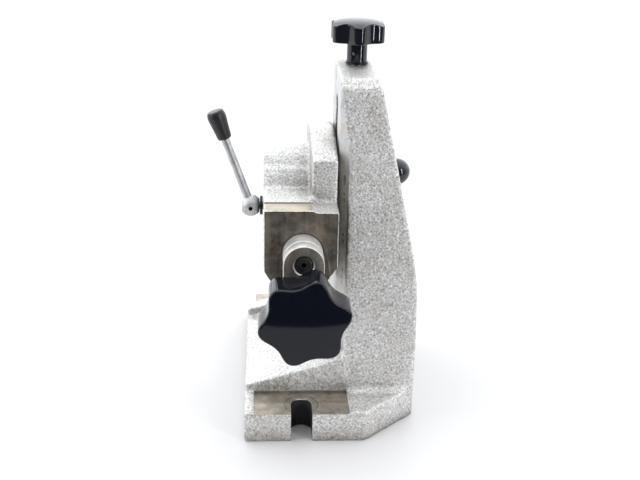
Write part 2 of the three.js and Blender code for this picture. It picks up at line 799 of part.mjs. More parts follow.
function buildLockLever(lock) {
  const lever = groupAt(lock, LOCK.hubX, 0, 0);
  const { hubRadius, hubFlat, eyeRadius, collarRadius, lean } = LOCK;
  const { rodRadius, rodStart, rodLength, gripStart, gripLength } = LOCK;
  const flats = block(-hubFlat, hubFlat, -20, 20, -20, 20);
  const ball = common(new THREE.SphereGeometry(hubRadius, 20, 12), flats);
  const rodWay = rod(rodRadius + FIT, rodStart - FIT, 20, "z", 20).rotateY(-lean);
  const studWay = rod(LOCK.studRadius + FIT, -hubFlat + 2.5, hubFlat + 1, "x", 20);
  const eye = rod(eyeRadius, -hubRadius - 1, -LOCK.studRadius - 1.2, "y", 16);
  piece(lever, "lock_hub", cut(ball, rodWay, studWay, eye), BRIGHT_STEEL);
  const collar = ring(LOCK.studRadius + FIT, collarRadius, hubFlat + FIT, HEAD.left - LOCK.hubX - FIT, "x");
  piece(lever, "lock_collar", collar, BLACK_OXIDE);
  const rodProfile = [[0, rodStart], [rodRadius, rodStart], [rodRadius, rodLength], [0, rodLength]];
  const leverRod = piece(lever, "lock_rod", turned(rodProfile, "z", 20), BRIGHT_STEEL);
  leverRod.rotation.y = -lean;
  const gripEnd = gripStart + gripLength;
  const gripProfile = [
    [0, gripStart],
    [5, gripStart],
    [6.8, gripEnd - 3],
    [5, gripEnd],
    [0, gripEnd],
  ];
  const gripWay = rod(rodRadius + FIT, gripStart - 1, rodLength + FIT, "z", 20);
  const grip = piece(lever, "lock_grip", cut(turned(gripProfile, "z"), gripWay), SATIN_PLASTIC);
  grip.rotation.y = -lean;
}

function buildLock(head) {
  const lock = groupAt(head, 0, LOCK.y, -LOCK.drop);
  const { boreEnd, studRadius, hubX, hubFlat } = LOCK;
  const studStart = hubX - hubFlat + 3;
  const stud = rod(studRadius, studStart, boreEnd - 1, "x", 20);
  piece(lock, "lock_plug_outer", lockPlug(HEAD.left + 1, -6), MACHINED_STEEL);
  piece(lock, "lock_plug_inner", lockPlug(4, boreEnd - FIT), MACHINED_STEEL);
  piece(lock, "lock_stud", stud, BRIGHT_STEEL);
  buildLockLever(lock);
}

// ---- assembly ----

const tailstock = new THREE.Group();
tailstock.name = "tailstock";
piece(tailstock, "column_casting", columnCasting(), SILVER_PAINT);
piece(tailstock, "bearing_grub_screw", grubScrew(), BLACK_OXIDE, [0, HEIGHT.y, GRUB.z]);
buildHeightScrew(tailstock);
const lift = buildLift(tailstock);
const head = groupAt(lift, 0, 0, 0);
piece(head, "head_casting", headCasting(), SILVER_PAINT);
buildLock(head);
buildQuill(head);

export default tailstock;
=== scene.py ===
"""Looks of an adjustable-height tailstock for a dividing head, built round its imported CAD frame.

Blender works in metres in the frame's own axes: +Y along the quill to its centre point, +X from the
quill to the column, +Z up. Sizes below are in millimetres and MM turns them into metres. The castings
are made as a foundry and a mill would: the CAD solid is roughened and rounded, then its working faces
are cut flat. Knobs, screws, levers and the quill are built anew inside their CAD solids.
"""

import json
import math

import bmesh
import bpy
import numpy as np
from mathutils import Matrix, Vector, noise


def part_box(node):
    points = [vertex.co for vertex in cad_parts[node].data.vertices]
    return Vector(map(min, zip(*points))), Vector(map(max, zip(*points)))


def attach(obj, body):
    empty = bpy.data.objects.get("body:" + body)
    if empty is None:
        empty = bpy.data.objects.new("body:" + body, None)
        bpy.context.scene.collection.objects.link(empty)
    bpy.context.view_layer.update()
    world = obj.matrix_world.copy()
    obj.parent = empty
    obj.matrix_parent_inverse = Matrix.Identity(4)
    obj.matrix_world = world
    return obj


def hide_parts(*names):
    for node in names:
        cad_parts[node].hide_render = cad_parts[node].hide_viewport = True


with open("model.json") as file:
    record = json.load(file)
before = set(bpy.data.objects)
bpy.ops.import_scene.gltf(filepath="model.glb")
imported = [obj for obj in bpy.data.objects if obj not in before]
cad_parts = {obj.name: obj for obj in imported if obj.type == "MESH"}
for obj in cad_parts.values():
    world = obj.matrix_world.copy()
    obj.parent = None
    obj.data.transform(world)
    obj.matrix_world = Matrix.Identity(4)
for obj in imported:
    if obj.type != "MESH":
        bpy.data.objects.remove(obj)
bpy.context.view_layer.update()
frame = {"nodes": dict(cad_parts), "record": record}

MM = 0.001
DEG = math.pi / 180
NODES = frame["nodes"]
RECORD = frame["record"]
BODY_OF = {node: body for body, nodes in RECORD["behaviour"]["bodies"].items() for node in nodes}

# ---- camera ----

CAMERA_AT = (-26.1, -702.8, 400.4)
CAMERA_PITCH = 22.1
CAMERA_YAW = 3.43
CAMERA_ROLL = 1.3
CAMERA_LENS = 55.9
SENSOR_WIDTH = 36
CLIP_RANGE = (0.01, 30)  # in metres


def set_camera():
    pitch, yaw, roll = (a * DEG for a in (CAMERA_PITCH, CAMERA_YAW, CAMERA_ROLL))
    forward = Vector((math.sin(yaw) * math.cos(pitch), math.cos(yaw) * math.cos(pitch), -math.sin(pitch)))
    right = Vector((math.cos(yaw), -math.sin(yaw), 0))
    up = right.cross(forward)
    right, up = (right * math.cos(roll) + up * math.sin(roll), up * math.cos(roll) - right * math.sin(roll))
    data = bpy.data.cameras.new("camera")
    data.lens = CAMERA_LENS
    data.sensor_width = SENSOR_WIDTH
    data.clip_start, data.clip_end = CLIP_RANGE
    camera = bpy.data.objects.new("camera", data)
    bpy.context.scene.collection.objects.link(camera)
    turn = Matrix((right, up, -forward)).transposed().to_4x4()
    camera.matrix_world = Matrix.Translation(Vector(CAMERA_AT) * MM) @ turn
    bpy.context.scene.camera = camera


# ---- places taken from the frame ----


def low(node):
    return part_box(node)[0] / MM


def high(node):
    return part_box(node)[1] / MM


def centre(node):
    return (low(node) + high(node)) / 2


# ---- meshes ----


def link(obj):
    bpy.context.scene.collection.objects.link(obj)
    return obj


def mesh_object(name, points, faces):
    mesh = bpy.data.meshes.new(name)
    mesh.from_pydata([tuple(c * MM for c in p) for p in points], [], faces)
    mesh.validate()
    mesh.update()
    return link(bpy.data.objects.new(name, mesh))


AXES = {
    "x": Matrix(((0, 0, 1), (1, 0, 0), (0, 1, 0))),
    "y": Matrix(((1, 0, 0), (0, 0, 1), (0, -1, 0))),
    "z": Matrix.Identity(3),
}


def turned(name, profile, axis="z", at=(0, 0, 0), segments=96):
    """A solid of revolution. Profile points are (radius, distance along the axis), from low to high."""
    turn = AXES[axis]
    points, faces, rings = [], [], []
    closed = profile[0] == profile[-1]
    for radius, along in profile[:-1] if closed else profile:
        if radius < 1e-6:
            rings.append([len(points)])
            points.append(turn @ Vector((0, 0, along)) + Vector(at))
            continue
        start = len(points)
        rings.append(list(range(start, start + segments)))
        for i in range(segments):
            angle = 2 * math.pi * i / segments
            spot = Vector((radius * math.cos(angle), radius * math.sin(angle), along))
            points.append(turn @ spot + Vector(at))
    if closed:
        rings.append(rings[0])
    for lower, upper in zip(rings, rings[1:]):
        faces += band(lower, upper, segments)
    obj = mesh_object(name, points, faces)
    face_outward(obj)
    return obj


def band(lower, upper, segments):
    """Faces between two rings, either of which may be a single point on the axis."""
    faces = []
    for i in range(segments):
        j = (i + 1) % segments
        if len(lower) == 1 and len(upper) == 1:
            continue
        if len(lower) == 1:
            faces.append((lower[0], upper[j], upper[i]))
        elif len(upper) == 1:
            faces.append((lower[i], lower[j], upper[0]))
        else:
            faces.append((lower[i], lower[j], upper[j], upper[i]))
    return faces


def face_outward(obj):
    bm = bmesh.new()
    bm.from_mesh(obj.data)
    bmesh.ops.recalc_face_normals(bm, faces=bm.faces)
    if bm.calc_volume(signed=True) < 0:
        bmesh.ops.reverse_faces(bm, faces=bm.faces)
    bm.to_mesh(obj.data)
    bm.free()


def rounded(points, radius, steps=5):
    """An open profile with each inner corner rounded to a radius, or to what its two sides allow."""
    made = [points[0]]
    for before, corner, after in zip(points, points[1:], points[2:]):
        a, b, c = Vector(before), Vector(corner), Vector(after)
        back, ahead = (a - b), (c - b)
        size = min(radius, 0.45 * back.length, 0.45 * ahead.length)
        start, end = b + back.normalized() * size, b + ahead.normalized() * size
        for i in range(steps + 1):
            t = i / steps
            made.append(tuple(start * (1 - t) ** 2 + b * 2 * t * (1 - t) + end * t * t))
    made.append(points[-1])
    return made


def rod_profile(radius, start, end, edge):
    return rounded([(0, start), (radius, start), (radius, end), (0, end)], edge)


def ring_profile(inner, outer, start, end, edge):
    corners = [(inner, start), (outer, start), (outer, end), (inner, end), (inner, start)]
    middle = ((inner + outer) / 2, start)
    return rounded([middle, *corners[1:4], corners[0], middle], edge)


THREAD_DEPTH = 0.6  # of the pitch
THREAD_RINGS = 6  # rings of points in one turn
THREAD_CHAMFER = 0.8
FLANK_SLOPE = 1.3
FLANK_OFFSET = 0.15


def threaded(name, radius, pitch, start, end, thread_end, axis, at, segments=32):
    """A rod with a helical thread from its start to thread_end, and plain from there to its end."""
    turn = AXES[axis]
    depth = THREAD_DEPTH * pitch
    step = pitch / THREAD_RINGS
    heights = [start + step * i for i in range(int((thread_end - start) / step))]
    heights += [thread_end, end - THREAD_CHAMFER, end]
    points = [turn @ Vector((0, 0, start)) + Vector(at)]
    rings = [[0]]
    for along in heights:
        far_end = end - along + radius - THREAD_CHAMFER
        chamfer = min(along - start + radius - depth, far_end, radius)
        rings.append(list(range(len(points), len(points) + segments)))
        for i in range(segments):
            share = i / segments
            slope = abs(((along - start) / pitch - share) % 1 - 0.5) * 2
            flank = min(max(FLANK_SLOPE * slope - FLANK_OFFSET, 0), 1)
            groove = depth * flank if along < thread_end else 0
            size = min(radius - groove, chamfer)
            angle = 2 * math.pi * share
            spot = Vector((size * math.cos(angle), size * math.sin(angle), along))
            points.append(turn @ spot + Vector(at))
    rings.append([len(points)])
    points.append(turn @ Vector((0, 0, end)) + Vector(at))
    faces = []
    for lower, upper in zip(rings, rings[1:]):
        faces += band(lower, upper, segments)
    obj = mesh_object(name, points, faces)
    face_outward(obj)
    return obj


def merge(obj, *others):
    """Adds other objects' meshes to this one's and uses them up."""
    bm = bmesh.new()
    bm.from_mesh(obj.data)
    for other in others:
        bm.from_mesh(other.data)
        bpy.data.objects.remove(other)
    bm.to_mesh(obj.data)
    bm.free()
    return obj


def lay(obj, at, direction):
    """Turns an object that stands on +Z at the origin to point along a direction from a place."""
    turn = Vector(direction).to_track_quat("Z", "Y").to_matrix().to_4x4()
    obj.data.transform(Matrix.Translation(Vector(at) * MM) @ turn)
    return obj


def move(obj, at, angle=0.0, axis="Z"):
    """Turns an object's mesh about an axis through the origin, then moves it to a place."""
    obj.data.transform(Matrix.Rotation(angle, 4, axis))
    obj.data.transform(Matrix.Translation(Vector(at) * MM))
    return obj


def prism(name, outline, axis, start, end, edge=0.0):
    """An outline pushed along an axis, with its sharp edges bevelled. x takes (y, z), y takes (x, z)."""
    spots = {
        "x": lambda a, b, t: (t, a, b),
        "y": lambda a, b, t: (a, t, b),
        "z": lambda a, b, t: (a, b, t),
    }[axis]
    count = len(outline)
    points = [spots(a, b, start) for a, b in outline] + [spots(a, b, end) for a, b in outline]
    sides = [(i, (i + 1) % count, count + (i + 1) % count, count + i) for i in range(count)]
    faces = sides + [tuple(range(count - 1, -1, -1)), tuple(range(count, 2 * count))]
    obj = mesh_object(name, points, faces)
    face_outward(obj)
    if edge:
        bevel(obj, edge)
    return obj


def block(name, corner, opposite, edge=0.0):
    (x0, y0, z0), (x1, y1, z1) = corner, opposite
    return prism(name, [(x0, y0), (x1, y0), (x1, y1), (x0, y1)], "z", z0, z1, edge)


def arc(cx, cy, radius, start, end, steps=24):
    """Points on an arc, with angles in degrees."""
    angles = [(start + (end - start) * i / steps) * DEG for i in range(steps + 1)]
    return [(cx + radius * math.cos(a), cy + radius * math.sin(a)) for a in angles]


def bake_modifiers(obj):
    """Applies every modifier to the mesh."""
    graph = bpy.context.evaluated_depsgraph_get()
    graph.update()
    mesh = bpy.data.meshes.new_from_object(obj.evaluated_get(graph))
    old = obj.data
    obj.modifiers.clear()
    obj.data = mesh
    bpy.data.meshes.remove(old)


def bevel(obj, width, segments=3, angle=35):
    modifier = obj.modifiers.new("bevel", "BEVEL")
    modifier.width = width * MM
    modifier.segments = segments
    modifier.limit_method = "ANGLE"
    modifier.angle_limit = angle * DEG
    bake_modifiers(obj)


def combine(obj, operation, *others):
    """Joins or cuts with other solids, which are used up. New faces keep the other solid's material."""
    for other in others:
        modifier = obj.modifiers.new("boolean", "BOOLEAN")
        modifier.operation = operation
        modifier.solver = "EXACT"
        modifier.material_mode = "TRANSFER"
        modifier.object = other
        bake_modifiers(obj)
        bpy.data.objects.remove(other)
    return obj


def cut(obj, *tools):
    return combine(obj, "DIFFERENCE", *tools)


def smooth_shade(obj, angle=30):
    """Smooth shading, with edges sharper than the angle kept crisp."""
    mesh = obj.data
    mesh.shade_smooth()
    bm = bmesh.new()
    bm.from_mesh(mesh)
    for edge in bm.edges:
        if len(edge.link_faces) == 2:
            edge.smooth = edge.calc_face_angle() < angle * DEG
    bm.to_mesh(mesh)
    bm.free()


# ---- material graphs ----


SHELTER_RAYS = 6


class Graph:
    """A material's nodes, with short calls to add and link them."""

    def __init__(self, name):
        self.material = bpy.data.materials.new(name)
        self.material.use_nodes = True
        self.tree = self.material.node_tree
        self.shader = self.tree.nodes["Principled BSDF"]

    def add(self, kind, inputs=None, **settings):
        node = self.tree.nodes.new("ShaderNode" + kind)
        for key, value in settings.items():
            setattr(node, key, value)
        for key, value in (inputs or {}).items():
            self.feed(node.inputs[key], value)
        return node

    def feed(self, socket, value):
        if isinstance(value, bpy.types.NodeSocket):
            self.tree.links.new(value, socket)
        else:
            socket.default_value = value

    def set(self, **values):
        for key, value in values.items():
            self.feed(self.shader.inputs[key.replace("_", " ")], value)

    def place(self, scale=(1, 1, 1)):
        """The point's place on the object in millimetres, stretched along each axis."""
        spot = self.add("TexCoord").outputs["Object"]
        size = tuple(s / MM for s in scale)
        return self.add("Mapping", {"Vector": spot, "Scale": size}).outputs["Vector"]

    def noise(self, where, size, detail=3.0, roughness=0.55, distortion=0.0):
        """Noise whose features are about size millimetres across."""
        inputs = {"Vector": where, "Scale": 1 / size, "Detail": detail, "Roughness": roughness}
        inputs["Distortion"] = distortion
        return self.add("TexNoise", inputs).outputs["Fac"]

    def ramp(self, value, *stops):
        """Maps a value to colours or to numbers by (position, colour or number) stops."""
        node = self.add("ValToRGB", {"Fac": value})
        elements = node.color_ramp.elements
        while len(elements) < len(stops):
            elements.new(1.0)
        for element, (position, colour) in zip(elements, stops):
            element.position = position
            element.color = (*colour, 1) if isinstance(colour, tuple) else (colour, colour, colour, 1)
        return node.outputs["Color"]

    def mix(self, share, first, second, blend="MIX"):
        node = self.add("Mix", data_type="RGBA", blend_type=blend)
        for socket, value in ((node.inputs[0], share), (node.inputs[6], first), (node.inputs[7], second)):
            self.feed(socket, (*value, 1) if isinstance(value, tuple) else value)
        return node.outputs[2]

    def shelter(self, reach):
        """How open a point is, from 0 deep in a corner to 1, by what stands within reach millimetres."""
        node = self.add("AmbientOcclusion", {"Distance": reach * MM}, samples=SHELTER_RAYS)
        return node.outputs["AO"]

    def bump(self, height, distance, strength=1.0, under=None):
        node = self.add("Bump", {"Height": height, "Distance": distance * MM, "Strength": strength})
        if under is not None:
            self.feed(node.inputs["Normal"], under)
        return node.outputs["Normal"]


# Sizes in millimetres of what each material shows.
# Reach of the ambient occlusion that paints shade and dirt into corners.
SHADE_AND_GRIME_REACH = 20
PAINT_GRAIN = 1.4
PAINT_PITS = 1.9
PAINT_STAIN = 31
PAINT_COARSE = 2.6
IRON_STREAKS = 8
IRON_STAIN = 15
IRON_SPOTS = 6.5
IRON_SCRATCHES = 0.35
STEEL_LINES = 2.2
STEEL_STAIN = 6
PLASTIC_RIPPLE = 9
PLASTIC_DUST = 1.1
# How far streaks and lines are drawn out: the scale along them and the scale across them.
STREAK_SCALE = (0.02, 1)
LINE_SCALE = (8, 0.4)
WHITE = (1.0, 1.0, 1.0)


def stretched(along, scale):
    """A scale for each axis: the first value along one axis and the second on the other two."""
    return tuple(scale[0] if axis == along else scale[1] for axis in "xyz")


def hammer_paint(name):
    """Silver paint on a rough casting: fine grain with painted glints, sparse dark pits, oil stains, and
    dirt with painted shade in corners.
    """
    g = Graph(name)
    where = g.place()
    grain = g.noise(where, PAINT_GRAIN, 4, 0.66)
    pits = g.noise(where, PAINT_PITS, 4, 0.62)
    broad = g.noise(where, PAINT_STAIN, 3)
    dull, middle, bright = (0.31, 0.30, 0.285), (0.58, 0.57, 0.56), (0.72, 0.72, 0.72)
    # The top stop, near white, paints glints into the grain: painted highlights over the paint's real light
    # and dark flecks.
    grain_colour_and_glints = g.ramp(grain, (0.34, dull), (0.46, middle), (0.56, bright), (0.66, (0.95, 0.95, 0.95)))
    pitted = g.mix(g.ramp(pits, (0.30, 0.8), (0.38, 0.0)), grain_colour_and_glints, (0.13, 0.115, 0.10))
    stain = g.ramp(broad, (0.36, (0.92, 0.905, 0.88)), (0.6, WHITE))
    stained = g.mix(1.0, pitted, stain, "MULTIPLY")
    # Ambient occlusion darkens corners and hollows to brown: painted shade, with some real dirt in the same
    # corners.
    shade_and_grime = g.ramp(g.shelter(SHADE_AND_GRIME_REACH), (0.4, (0.40, 0.37, 0.33)), (0.84, WHITE))
    g.set(Base_Color=g.mix(1.0, stained, shade_and_grime, "MULTIPLY"), Metallic=0.5)
    g.set(Roughness=g.ramp(grain, (0.3, 0.36), (0.7, 0.5)))
    coarse = g.bump(g.noise(where, PAINT_COARSE, 2, 0.5), 0.5, 0.8)
    g.set(Normal=g.bump(grain, 0.4, 0.9, coarse))
    return g.material


def milled_iron(name, along, light, dark, rough=0.36, metallic=0.75):
    """Bare milled iron: cutter streaks along one axis, brown oil stains and fine scratches."""
    g = Graph(name)
    stretch = stretched(along, STREAK_SCALE)
    streaks = g.noise(g.place(stretch), IRON_STREAKS, 4, 0.55)
    stain = g.noise(g.place(), IRON_STAIN, 4, 0.6, 0.2)
    spots = g.noise(g.place(), IRON_SPOTS, 5, 0.66, 0.2)
    fine = g.noise(g.place(stretch), IRON_SCRATCHES, 2)
    colour = g.ramp(g.mix(0.5, streaks, spots), (0.38, dark), (0.60, light))
    grey, clean, brown = (0.78, 0.78, 0.79), (0.97, 0.965, 0.96), (1.0, 0.94, 0.85)
    oil = g.ramp(stain, (0.34, grey), (0.5, clean), (0.68, brown))
    g.set(Base_Color=g.mix(1.0, colour, oil, "MULTIPLY"), Metallic=metallic)
    g.set(Roughness=g.ramp(stain, (0.35, rough + 0.1), (0.65, rough - 0.05)))
    g.set(Normal=g.bump(fine, 0.03, 0.7))
    return g.material


def steel(name, colour, rough, along="z", metallic=1.0):
    """Turned or ground steel with faint lines round it and small stains."""
    g = Graph(name)
    lines = g.noise(g.place(stretched(along, LINE_SCALE)), STEEL_LINES, 4, 0.6)
    stain = g.noise(g.place(), STEEL_STAIN, 4, 0.6)
    dull = tuple(c * 0.72 for c in colour)
    g.set(Base_Color=g.mix(g.ramp(stain, (0.35, 0.0), (0.7, 1.0)), dull, colour), Metallic=metallic)
    g.set(Roughness=g.ramp(lines, (0.3, rough * 0.7), (0.7, rough * 1.3)))
    g.set(Normal=g.bump(lines, 0.02, 0.6))
    return g.material


def plastic(name, colour, rough, grain, shine):
    """Moulded black plastic with a faint unevenness, dust and rubbed patches."""
    g = Graph(name)
    ripple = g.noise(g.place(), PLASTIC_RIPPLE, 2, 0.4)
    dust = g.noise(g.place(), PLASTIC_DUST, 5, 0.7)
    pale = tuple(c + 0.006 for c in colour)
    g.set(Base_Color=g.mix(g.ramp(dust, (0.55, 0.0), (0.8, 1.0)), colour, pale), Specular_IOR_Level=shine)
    g.set(Roughness=g.ramp(dust, (0.4, rough), (0.75, rough + 0.05)))
    g.set(Normal=g.bump(dust, grain, 0.4, g.bump(ripple, 0.06, 0.5)))
    return g.material


PAINT = hammer_paint("hammer_paint")
MILLED_FACE = milled_iron("milled_face", "z", (0.32, 0.28, 0.225), (0.105, 0.094, 0.086))
ARM_FACE = milled_iron("arm_face", "z", (0.40, 0.37, 0.33), (0.22, 0.205, 0.185), 0.42)
MILLED_RAIL = milled_iron("milled_rail", "z", (0.66, 0.67, 0.67), (0.50, 0.51, 0.515), 0.36, 0.4)
MILLED_PAD = milled_iron("milled_pad", "x", (0.50, 0.46, 0.395), (0.27, 0.24, 0.20), 0.42)
MILLED_SHELF = milled_iron("milled_shelf", "x", (0.50, 0.46, 0.385), (0.42, 0.38, 0.31), 0.42)
# Near-black iron for the walls of slots and bores: painted shade where these hollows look dark.
HOLLOW_SHADE = milled_iron("hollow_shade_black", "y", (0.022, 0.022, 0.024), (0.009, 0.009, 0.010), 0.7, 0.0)
QUILL_STEEL = steel("quill_steel", (0.78, 0.765, 0.735), 0.45, "y", 0.55)
BRIGHT = steel("bright_steel", (0.52, 0.52, 0.53), 0.38)
BRIGHT_X = steel("bright_steel_cross", (0.52, 0.52, 0.53), 0.38, "x")
FROSTED = steel("frosted_steel", (0.66, 0.665, 0.675), 0.55)
GREY = steel("grey_steel", (0.24, 0.235, 0.225), 0.42)
# Dark steel for the dark parts. Holes and sockets cut with it into lighter parts take it as painted shade.
DARK_STEEL_AND_HOLE_SHADE = steel("dark_steel", (0.05, 0.05, 0.055), 0.35)
BRONZE = steel("bronze", (0.52, 0.37, 0.19), 0.35)
GLOSS = plastic("black_gloss", (0.005, 0.006, 0.011), 0.07, 0.0, 0.65)
STAR_GLOSS = plastic("black_star_gloss", (0.003, 0.004, 0.008), 0.06, 0.0, 0.3)
SATIN = plastic("black_satin", (0.012, 0.012, 0.013), 0.36, 0.02, 0.5)


def settle(obj, node, material=None, angle=30):
    """Shades a built piece and puts it in its CAD node's place."""
    if material:
        obj.data.materials.clear()
        obj.data.materials.append(material)
    smooth_shade(obj, angle)
    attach(obj, BODY_OF[node])
    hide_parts(node)
    return obj


def with_material(obj, material):
    obj.data.materials.append(material)
    return obj


# ---- castings ----

VOXEL = 1.25
RELAX_ROUNDS = 5
GRAIN_DEPTH = 0.32
GRAIN_SIZE = 3.1
WAVE_DEPTH = 0.18
WAVE_SIZE = 14
SKIN = 0.55  # what the mill takes off a working face: more than the roughening does


def rough_casting(node, name, extras=()):
    """A copy of a CAD casting with rounded edges and a rough, slightly wavy skin."""
    obj = link(bpy.data.objects.new(name, NODES[node].data.copy()))
    merge(obj, *extras)
    obj.data.materials.clear()
    obj.data.materials.append(PAINT)
    remesh = obj.modifiers.new("remesh", "REMESH")
    remesh.mode = "VOXEL"
    remesh.voxel_size = VOXEL * MM
    relax = obj.modifiers.new("relax", "SMOOTH")
    relax.factor = 0.5
    relax.iterations = RELAX_ROUNDS
    bake_modifiers(obj)
    mesh = obj.data
    count = len(mesh.vertices)
    spots = np.empty(count * 3, np.float32)
    normals = np.empty(count * 3, np.float32)
    mesh.vertices.foreach_get("co", spots)
    mesh.vertices.foreach_get("normal", normals)
    depth = np.array([skin_depth(spot) for spot in spots.reshape(-1, 3) / MM])
    moved = spots.reshape(-1, 3) - normals.reshape(-1, 3) * depth[:, None] * MM
    mesh.vertices.foreach_set("co", moved.astype(np.float32).ravel())
    mesh.update()
    return obj


def skin_depth(spot):
    """How far the skin lies under the CAD face at a place: broad waves and sand grain."""
    wave = noise.noise(Vector(spot) / WAVE_SIZE)
    sand = noise.noise(Vector(spot) / GRAIN_SIZE)
    return GRAIN_DEPTH * (0.5 + 0.5 * sand) + WAVE_DEPTH * (0.5 + 0.5 * wave)


def drill(axis, radius, start, end, at, material=MILLED_FACE, segments=72):
    profile = [(0, start), (radius, start), (radius, end), (0, end)]
    return with_material(turned("drill", profile, axis, at, segments), material)


FILLET_STEPS = 7


def fillet(corner, axis, start, end, radius, toward):
    """A concave fillet along an axis, filling a corner on the sides that toward points to."""
    (a, b), (da, db) = corner, toward
    outline = [(a - da, b - db), (a + da * radius, b - db)]
    for i in range(FILLET_STEPS + 1):
        angle = i / FILLET_STEPS * math.pi / 2
        outline.append((a + da * radius * (1 - math.sin(angle)), b + db * radius * (1 - math.cos(angle))))
    outline.append((a - da, b + db * radius))
    return prism("fillet", outline, axis, start, end)


BASE_HALF = high("column_casting").y
SLOT_WIDTH = 14
SLOT_DEPTH = 20.5
PAD_TOP = 22.5
PAD_HALF = 33.8
PAD_DEPTH = 30.5
FOOT_TOP = 23.5
COLUMN_HALF = 69.5
COLUMN_FRONT = 31.5
RAIL_FACE = 25.5
RAIL_HALF = 40
RAIL_ROOT_HALF = 46
GUIDE_HALF = 9
GUIDE_BOTTOM = 100
GUIDE_TOP = 228
WASHER_MARK = (11.6, 12.4)
MARK_DEPTH = 0.12
RAIL_SIDE_OVERLAP = 0.4
COVE_RADIUS = 6
SCREW_BORE = 5.5
SCREW_SPOT_FACE = 8.3
GRUB_BORE = 2.9
OVERCUT = 5  # how far a cutter reaches out past the casting


def bolt_slot_cutter(side):
    """A slot with a round end, wider than the cast one by the skin, so that its walls come out milled."""
    radius = SLOT_WIDTH / 2 + SKIN
    centre_y = BASE_HALF - SLOT_DEPTH + SLOT_WIDTH / 2
    outline = [(radius, BASE_HALF + 2), *arc(0, centre_y, radius, 0, -180), (-radius, BASE_HALF + 2)]
    outline = [(x, side * y) for x, y in outline]
    # The near-black walls paint the shade inside the slot.
    return with_material(prism("slot", outline, "z", -2, PAD_TOP + 12), HOLLOW_SHADE)


def pad_cutter(side):
    inner, outer = side * (BASE_HALF - PAD_DEPTH + 0.2), side * (BASE_HALF + 2)
    corner = (-PAD_HALF, min(inner, outer), PAD_TOP - SKIN)
    opposite = (PAD_HALF, max(inner, outer), PAD_TOP + 9)
    return with_material(block("pad", corner, opposite), MILLED_PAD)


def washer_mark_cutter(side):
    """The ring that a bolt's washer has pressed into the pad round the slot."""
    inner, outer = WASHER_MARK
    floor, air = PAD_TOP - SKIN - MARK_DEPTH, PAD_TOP + 3
    at = (0, side * (BASE_HALF - SLOT_DEPTH + SLOT_WIDTH / 2), 0)
    profile = [(inner, floor), (outer, floor), (outer, air), (inner, air), (inner, floor)]
    return with_material(turned("mark", profile, "z", at, 72), MILLED_FACE)


def rail_cutters():
    """Cutters for the flat rail and for its two slanting sides."""
    bottom, top = FOOT_TOP + 24, high("column_casting").z + OVERCUT
    face, root = RAIL_FACE + SKIN, COLUMN_FRONT + SKIN
    left = low("column_casting").x - OVERCUT
    cutters = [block("rail", (left, -RAIL_HALF - 9, 31), (face, RAIL_HALF + 9, top))]
    for side in (-1, 1):
        near, far = side * (RAIL_HALF - RAIL_SIDE_OVERLAP), side * (RAIL_ROOT_HALF - RAIL_SIDE_OVERLAP)
        outer = far + side * 4
        outline = [(face - 1, near - side), (root, far), (root, outer), (face - 1, outer)]
        cutters.append(prism("rail_side", outline, "z", bottom, top))
    return [with_material(c, MILLED_RAIL) for c in cutters]


def make_column():
    hi = high("column_casting")
    coves = [
        fillet((side * COLUMN_HALF, FOOT_TOP), "x", PAD_HALF + 2, hi.x - 9, COVE_RADIUS, (side, 1))
        for side in (-1, 1)
    ]
    obj = rough_casting("column_casting", "column_body", coves)
    screw = centre("height_screw")
    rounds = arc(0, GUIDE_TOP - GUIDE_HALF, GUIDE_HALF + SKIN, 0, 180)
    rounds += arc(0, GUIDE_BOTTOM + GUIDE_HALF, GUIDE_HALF + SKIN, 180, 360)
    guide = prism("guide", rounds, "x", RAIL_FACE - 3, RAIL_FACE + 10.5)
    cut(
        obj,
        *rail_cutters(),
        # The guide slot's near-black walls paint the shade inside it.
        with_material(guide, HOLLOW_SHADE),
        pad_cutter(-1),
        pad_cutter(1),
        washer_mark_cutter(-1),
        washer_mark_cutter(1),
        bolt_slot_cutter(-1),
        bolt_slot_cutter(1),
        drill("z", SCREW_BORE, hi.z - 30, hi.z + OVERCUT, (screw.x, screw.y, 0)),
        drill("z", SCREW_SPOT_FACE, hi.z - 0.7, hi.z + OVERCUT, (screw.x, screw.y, 0)),
        drill("x", GRUB_BORE, RAIL_FACE - 3, RAIL_FACE + 12, (0, screw.y, centre("bearing_grub_screw").z)),
    )
    settle(obj, "column_casting", angle=40)


SHELF_LENGTH = 16
SHELF_RIGHT = 7.4
QUILL_BORE = 14.45
FEED_SINK = 10.4
FEED_BORE = 6.5
STUD_SINK = 12.2
STUD_SPOT_FACE = 19
PLUG_BORE = 7.5
PLUG_SPOT_FACE = 9.6


